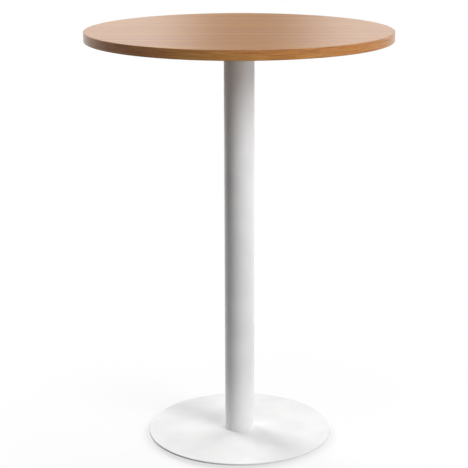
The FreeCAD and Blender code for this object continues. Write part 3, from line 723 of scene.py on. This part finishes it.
# %% Turn the studs
STUD_SEGMENTS = 36
FEET = range(1, 5)
foot_places = {}
for foot in FEET:
    low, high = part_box(f"foot_stud_{foot}")
    centre = (low + high) / 2
    outward = Matrix.Rotation(math.atan2(centre.y, centre.x), 4, "Z")
    foot_places[foot] = Matrix.Translation((centre.x, centre.y, 0)) @ outward
    form = bmesh.new()
    place = Matrix.Translation((0, 0, low.z)) @ foot_places[foot]
    lathe(form, stud_rings(high.z - low.z), STUD_SEGMENTS, place)
    finish_piece(
        f"threaded_stud_{foot}", form, zinc, "zinc", f"stud_{foot}", f"foot_stud_{foot}"
    )

# %% Mould the glides
GLIDE_SEGMENTS = 48
glide_radius, glide_height, glide_floor = 16 * MM, 4.5 * MM, 1.5 * MM
snap_play, lift_play = 0.1 * MM, 0.3 * MM  # room round the button and above it
socket_radius, lip_radius = button_radius + snap_play, neck_radius + snap_play
lip_underside = glide_floor + button_height + lift_play
edge_rounding, socket_rounding = 0.8 * MM, 0.2 * MM  # the second has to clear the button
lip_start = 0.4 * glide_radius  # where the top face hands over to the lip

glide_rings = rounded([
    (0, glide_radius / 2),
    (0, glide_radius),
    (glide_height, glide_radius),
    (glide_height, glide_radius / 2),
], edge_rounding)
glide_rings += rounded([
    (glide_height, lip_start),
    (glide_height, lip_radius),
    (lip_underside, lip_radius),
    (lip_underside, socket_radius),
    (glide_floor, socket_radius),
    (glide_floor, socket_radius / 2),
], socket_rounding)
for foot in FEET:
    form = bmesh.new()
    lathe(form, glide_rings, GLIDE_SEGMENTS, foot_places[foot])
    finish_piece(
        f"moulded_glide_{foot}", form, nylon, "nylon", f"foot_{foot}", f"foot_pad_{foot}"
    )

# %% [markdown]
# ## Screws into the board
#
# Eight pan-head wood screws hold the spider. Their places are read from the model: the tip
# of each screw is its highest point. A cross recess has sloping sides, and the plain way to
# sink one is to subtract a cross-shaped pyramid from the head, which a Boolean modifier does
# once, on one screw. The finished screw is then copied to all eight places.

# %% Find the eight screws
NEAR_THE_TIP = 0.01 * MM
screws_low, screws_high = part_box("spider_screws")
tips = {
    (round(vertex.co.x, 4), round(vertex.co.y, 4))
    for vertex in nodes["spider_screws"].data.vertices
    if vertex.co.z > screws_high.z - NEAR_THE_TIP
}
print(f"{len(tips)} screws, tips at {sorted(tips)}")

# %% Cut forms away from a form
def mesh_object(name, form):
    """A bare object to work on, which isn't one of the table's pieces yet."""
    bmesh.ops.recalc_face_normals(form, faces=form.faces)
    mesh = bpy.data.meshes.new(name)
    form.to_mesh(mesh)
    form.free()
    made = bpy.data.objects.new(name, mesh)
    bpy.context.scene.collection.objects.link(made)
    return made


def cut_away(name, form, cutters):
    """The mesh that is left of a form once these others are cut away from it."""
    blank = mesh_object(name, form)
    tools = [mesh_object(f"{name}_cutter", cutter) for cutter in cutters]
    for tool in tools:
        cut = blank.modifiers.new("cut", "BOOLEAN")
        cut.operation = "DIFFERENCE"
        cut.object = tool
    bpy.context.view_layer.update()
    depsgraph = bpy.context.evaluated_depsgraph_get()
    mesh = bpy.data.meshes.new_from_object(blank.evaluated_get(depsgraph))
    for helper in (blank, *tools):
        bpy.data.objects.remove(helper)
    return mesh


# %% Set out one screw
head_height, head_radius, crown_radius = 3.2 * MM, 5 * MM, 1.5 * MM
head_rounding, head_steps = 1.5 * MM, 6
shank_radius, plain_shank = 2.5 * MM, 4 * MM
shank_start = head_height + 0.2 * MM  # its first ring, clear of the head
wood_pitch, wood_groove, wood_crest = 2.2 * MM, 0.85 * MM, 0.025
wood_step = wood_pitch / 6
screw_point, point_waist, point_end = 4 * MM, 0.55 * shank_radius, 0.15 * MM


def wood_screw_rings():
    """From the crown of the head, at height 0, up to the point."""
    length = screws_high.z - screws_low.z
    cut = thread(wood_pitch, wood_groove, head_height + plain_shank, length, wood_crest)
    head = rounded([
        (0, crown_radius),
        (0, head_radius),
        (head_height, head_radius),
        (head_height, shank_radius),
    ], head_rounding, head_steps)
    point_start = length - screw_point
    shank = rings_between(shank_start, point_start, shank_radius, cut, wood_step)
    point = [
        (length - screw_point / 2, point_waist, cut),
        (length, point_end, plain),
    ]
    return head + shank + point


print(f"{len(wood_screw_rings())} rings from the crown of the head to the point")

# %% Turn one screw and sink its recess
WOOD_SCREW_SEGMENTS = 24
recess_half_span, recess_half_width = 2.5 * MM, 0.6 * MM
recess_depth, recess_overshoot = 1.8 * MM, 0.5 * MM
recess_bottom_share, recess_mouth_share = 0.45, 1.14


def recess_bar(form, turn):
    """One bar of the cross: a wedge that starts below the crown and narrows as it goes in."""
    spin = Matrix.Rotation(turn, 4, "Z")
    corners = []
    for height, share in (
        (-recess_overshoot, recess_mouth_share),
        (recess_depth, recess_bottom_share),
    ):
        span, width = recess_half_span * share, recess_half_width * share
        for x, y in ((-span, -width), (span, -width), (span, width), (-span, width)):
            corners.append(form.verts.new(spin @ Vector((x, y, height))))
    low, high = corners[:4], corners[4:]
    form.faces.new(reversed(low))
    form.faces.new(high)
    for corner in range(4):
        after = (corner + 1) % 4
        form.faces.new((low[corner], low[after], high[after], high[corner]))


blank = bmesh.new()
lathe(blank, wood_screw_rings(), WOOD_SCREW_SEGMENTS, Matrix.Identity(4))
bars = []
for turn in (0, math.pi / 2):
    bars.append(bmesh.new())
    recess_bar(bars[-1], turn)
cut_screw = cut_away("screw_blank", blank, bars)
print(f"one screw: {len(cut_screw.vertices)} points after its recess is cut")

# %% Copy the screw to its eight places
TURN_PER_SCREW = math.radians(137)  # no two recesses come to rest alike

screw_set = bmesh.new()
for count, (x, y) in enumerate(sorted(tips)):
    turned = Matrix.Rotation(count * TURN_PER_SCREW, 4, "Z")
    placed = cut_screw.copy()
    placed.transform(Matrix.Translation((x, y, screws_low.z)) @ turned)
    screw_set.from_mesh(placed)
    bpy.data.meshes.remove(placed)
finish_piece("wood_screws", screw_set, zinc, "zinc", "table", "spider_screws")

# %% [markdown]
# ## The tie rod
#
# The rod that pulls the board, the column and the base together is threaded only at its two
# ends, where the locator and the nut hold it. Most of it stays a plain bar, which needs no
# rings between its two threads.

# %% Turn the tie rod
ROD_SEGMENTS = 32
M12_PITCH, M12_GROOVE = 1.75 * MM, 0.95 * MM
M12_STEP = M12_PITCH / 6
rod_chamfer = 1 * MM
lower_thread, upper_thread = 30 * MM, 60 * MM
rod_low, rod_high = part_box("tie_rod")
rod_radius, rod_length = rod_high.x, rod_high.z - rod_low.z

lower_cut = thread(M12_PITCH, M12_GROOVE, 0, lower_thread)
upper_cut = thread(M12_PITCH, M12_GROOVE, rod_length - upper_thread, rod_length)
rod_rings = [
    (0, rod_radius - rod_chamfer, plain),
    *rings_between(rod_chamfer, lower_thread, rod_radius, lower_cut, M12_STEP),
    *rings_between(
        rod_length - upper_thread, rod_length - rod_chamfer, rod_radius, upper_cut, M12_STEP
    ),
    (rod_length, rod_radius - rod_chamfer, plain),
]
rod = bmesh.new()
lathe(rod, rod_rings, ROD_SEGMENTS, Matrix.Translation((0, 0, rod_low.z)))
finish_piece("threaded_tie_rod", rod, zinc, "zinc", "table", "tie_rod")

# %% [markdown]
# ## The base's cover
#
# The cover is one steel sheet, pressed flat with its rim bent down. The bend is only two
# millimetres in radius, and it is what catches the light all the way round the base. The
# construction model cuts it into uneven slivers, which would show there as a row of teeth.
# The lathe lays the same profile in even rings, so the light runs round without a break. The
# three holes for the screws of the column's foot are cut afterwards, as the recess was.

# %% Set out the cover's profile
BEND_STEPS = 8
sheet, inner_bend = 1.2 * MM, 0.8 * MM
outer_bend = inner_bend + sheet
inner_radius = base_radius - sheet
cover_underside = cover_high.z - sheet

cover_rings = rounded([
    (cover_underside, inner_radius - 2 * inner_bend),
    (cover_underside, inner_radius),
    (cover_low.z, inner_radius),
], inner_bend, BEND_STEPS)
cover_rings += rounded([
    (cover_low.z, base_radius),
    (cover_high.z, base_radius),
    (cover_high.z, base_radius - 2 * outer_bend),
], outer_bend, BEND_STEPS)
rim_height = cover_high.z - cover_low.z
print(f"{len(cover_rings)} rings round a rim {rim_height / MM:.1f} mm high")

# %% Press the cover and cut its holes
COVER_SEGMENTS, HOLE_SEGMENTS = 288, 48
hole_radius, hole_circle, hole_count = 4.25 * MM, 22.5 * MM, 3

blank = bmesh.new()
lathe(blank, cover_rings, COVER_SEGMENTS, Matrix.Identity(4))
drill_rings = [
    (cover_underside - sheet, hole_radius, plain),
    (cover_high.z + sheet, hole_radius, plain),
]
drills = []
for hole in range(hole_count):
    turned = Matrix.Rotation(hole * math.tau / hole_count, 4, "Z")
    place = turned @ Matrix.Translation((hole_circle, 0, 0))
    drills.append(bmesh.new())
    lathe(drills[-1], drill_rings, HOLE_SEGMENTS, place)
pressed = bmesh.new()
pressed.from_mesh(cut_away("cover_blank", blank, drills))
finish_piece(
    "pressed_cover", pressed, white_steel, "white_steel_cover", "table", "base_cover"
)

# %% [markdown]
# ## The studio: room
#
# The table stands in a bright, empty room. What the camera sees, and what shows in gloss and
# through glass, is plain white: the Light Path node tells those rays from the soft light
# that fills in the shadows, which stays dim so that the lamps shape the object.
#
# A glossy board mirrors the far wall when it is seen at a low angle, and a wall that is
# white all along would wash the wood out from edge to edge. So one narrow stretch of wall,
# straight behind the table, is dimmer, with soft edges. Only gloss shows it, and the board
# keeps its full colour there, between two paler sides.

# %% Light the room
ROOM_FILL = 0.11
DIM_WALL_DROP = 0.72
DIM_WALL_MIDDLE = math.radians(0.45)
DIM_WALL_INNER, DIM_WALL_OUTER = math.radians(0.8), math.radians(4.4)
DIM_WALL_FULL_BELOW, DIM_WALL_NONE_ABOVE = 0.6, 0.9  # heights of a direction of length 1
WHITE = (1, 1, 1, 1)


def seen_rays(graph):
    """1 for rays from the camera, from gloss and through glass; 0 for diffuse light."""
    rays = graph.node("ShaderNodeLightPath", {}, {}, "Is Camera Ray")
    seen = rays + rays["Is Glossy Ray"] + rays["Is Transmission Ray"]
    return graph.node("ShaderNodeMath", {"operation": "MINIMUM"}, {0: seen, 1: 1.0})


world = bpy.data.worlds.new("room")
world.use_nodes = True
bpy.context.scene.world = world
room = Graph(world.node_tree)
ways = room.node("ShaderNodeTexCoord", {}, {}, "Generated")
way = room.node("ShaderNodeSeparateXYZ", {}, {"Vector": ways})
bearing = room.node("ShaderNodeMath", {"operation": "ARCTAN2"}, {0: way["X"], 1: way["Y"]})
aside = room.node("ShaderNodeMath", {"operation": "ABSOLUTE"}, {0: bearing - DIM_WALL_MIDDLE})
across_wall = stretch(room, aside, DIM_WALL_OUTER, DIM_WALL_INNER)
up_wall = stretch(room, way["Z"], DIM_WALL_NONE_ABOVE, DIM_WALL_FULL_BELOW)
in_gloss = room.node("ShaderNodeLightPath", {}, {}, "Is Glossy Ray")
shown_level = 1.0 - in_gloss * across_wall * up_wall * DIM_WALL_DROP
seen = seen_rays(room)
strength = seen * shown_level + (1.0 - seen) * ROOM_FILL
backdrop = room.node("ShaderNodeBackground", {}, {"Color": WHITE, "Strength": strength})
room.node("ShaderNodeOutputWorld", {}, {"Surface": backdrop})
print(f"diffuse rays get {ROOM_FILL:.0%} of the white that the camera sees")

# %% [markdown]
# ## The studio: floor
#
# The floor is as white as the room, but a floor that only glows would leave the table
# hovering, so close to the table it keeps a share of its own shading and takes a soft
# shadow. That share fades out further away, where no shadow falls. Light that bounces off
# the floor comes from a plain grey, which lights the underside of the board gently. From
# underneath the floor is clear, so that the table can be looked at from below.

# %% Lay the floor
FLOOR_RADIUS, FLOOR_SEGMENTS = 14.0, 96
FLOOR_GREY = screen_colour(124, 124, 124)
FLOOR_WHITE = screen_colour(240, 240, 240)
FLOOR_SHADING = 0.28
SHADED_WITHIN, PLAIN_BEYOND = 0.35, 0.95

floor_material = bpy.data.materials.new("studio_floor")
floor_material.use_nodes = True
ground = Graph(floor_material.node_tree)
spot = ground.node("ShaderNodeTexCoord", {}, {}, "Object")
distance = ground.node("ShaderNodeVectorMath", {"operation": "LENGTH"}, {0: spot}, "Value")
share = stretch(ground, distance, PLAIN_BEYOND, SHADED_WITHIN, 0.0, FLOOR_SHADING)
matt = ground.node("ShaderNodeBsdfDiffuse", {}, {"Color": FLOOR_GREY})
shaded = ground.node("ShaderNodeBsdfDiffuse", {}, {"Color": FLOOR_WHITE})
glow = ground.node("ShaderNodeEmission", {}, {"Color": WHITE, "Strength": 1.0})
bright = ground.node("ShaderNodeMixShader", {}, {0: share, 1: glow, 2: shaded})
from_above = ground.node("ShaderNodeMixShader", {}, {0: seen_rays(ground), 1: matt, 2: bright})
clear = ground.node("ShaderNodeBsdfTransparent", {}, {})
side = ground.node("ShaderNodeNewGeometry", {}, {}, "Backfacing")
both = ground.node("ShaderNodeMixShader", {}, {0: side, 1: from_above, 2: clear})
ground.node("ShaderNodeOutputMaterial", {}, {"Surface": both})

disc = bmesh.new()
bmesh.ops.create_circle(disc, cap_ends=True, radius=FLOOR_RADIUS, segments=FLOOR_SEGMENTS)
floor = mesh_object("studio_floor", disc)
dress(floor, floor_material)
print(f"floor {2 * FLOOR_RADIUS:.0f} m across")

# %% [markdown]
# ## The studio: lamps
#
# Broad softboxes make the slow gradients that show a round column as round. A softbox is an
# area lamp, placed by its bearing round the table and turned to face the middle of the
# column. The key stands in front, half way to the right, and a weaker box stands low beside
# it for what the board shades. The rim box faces the key from behind on the left, so that the
# column's two soft shadows lie almost in one line across the base. A wide box fills the back
# on the right, and a weak one hangs over the board from a boom. None of them shows in gloss:
# mirrored in the flat board, a lamp would be a burnt-out patch, so the sheen comes from the
# white room alone.

# %% Set up the softboxes
AIM = Vector((0, 0, 0.6))
STAND_DISTANCE, BOOM_DISTANCE = 2.8, 1.2
BOOM_HEIGHT, HIGH_STAND, LOW_STAND = 2.9, 2.3, 0.8
BOX_WIDTH, WIDE_BOX_WIDTH, BOX_TALL = 1.45, 3.0, 1.3


def softbox(name, bearing, height, power, distance=STAND_DISTANCE, width=BOX_WIDTH):
    """A lamp at a bearing in degrees round the table, from straight in front to the right."""
    turn = math.radians(bearing)
    data = bpy.data.lights.new(name, "AREA")
    data.shape = "RECTANGLE"
    data.size, data.size_y = width, BOX_TALL
    data.energy = power
    lamp = bpy.data.objects.new(name, data)
    lamp.location = (distance * math.sin(turn), -distance * math.cos(turn), height)
    lamp.rotation_euler = (AIM - lamp.location).to_track_quat("-Z", "Y").to_euler()
    lamp.visible_camera = False
    lamp.visible_glossy = False
    bpy.context.scene.collection.objects.link(lamp)
    return lamp


# Each box: its name, its bearing in degrees, its height and its power in watts.
lamps = [
    softbox("key_softbox", 45, HIGH_STAND, 59),
    softbox("low_softbox", 60, LOW_STAND, 22),
    softbox("rim_softbox", -140, HIGH_STAND, 71),
    softbox("back_softbox", 140, HIGH_STAND, 57, width=WIDE_BOX_WIDTH),
    softbox("overhead_softbox", -30, BOOM_HEIGHT, 13, distance=BOOM_DISTANCE),
]
for lamp in lamps:
    print(f"{lamp.name}: {lamp.data.energy:.0f} W at {tuple(round(v, 2) for v in lamp.location)}")

# %% [markdown]
# ## The camera
#
# The camera stands well back with a long lens, a little above the board, so that the round
# top shows as a thin ellipse and the column hardly narrows towards the floor. It looks down
# on the middle of the table and leans by a tenth of a degree, as one on a tripod that was
# set by eye. A small shift of the lens sets the table just right of the middle.

# %% Place the camera
CAMERA_DISTANCE, CAMERA_HEIGHT = 3.6116, 1.5424
LOOKS_DOWN, LEANS = math.radians(15.07), math.radians(-0.09)
FILM_WIDTH, LENS = 36.0, 107.5  # millimetres, as cameras count
LENS_SHIFT = -0.0116  # share of the film's width

camera_data = bpy.data.cameras.new("studio_camera")
camera_data.sensor_width = FILM_WIDTH
camera_data.lens = LENS
camera_data.shift_x = LENS_SHIFT
camera = bpy.data.objects.new("studio_camera", camera_data)
camera.location = (0, -CAMERA_DISTANCE, CAMERA_HEIGHT)
aim = Matrix.Rotation(math.pi / 2 - LOOKS_DOWN, 3, "X") @ Matrix.Rotation(LEANS, 3, "Z")
camera.rotation_euler = aim.to_euler()
bpy.context.scene.collection.objects.link(camera)
bpy.context.scene.camera = camera
bpy.context.scene.view_settings.view_transform = "Standard"
print(f"camera {camera.location.length:.2f} m from the table's foot, {LENS:.0f} mm lens")
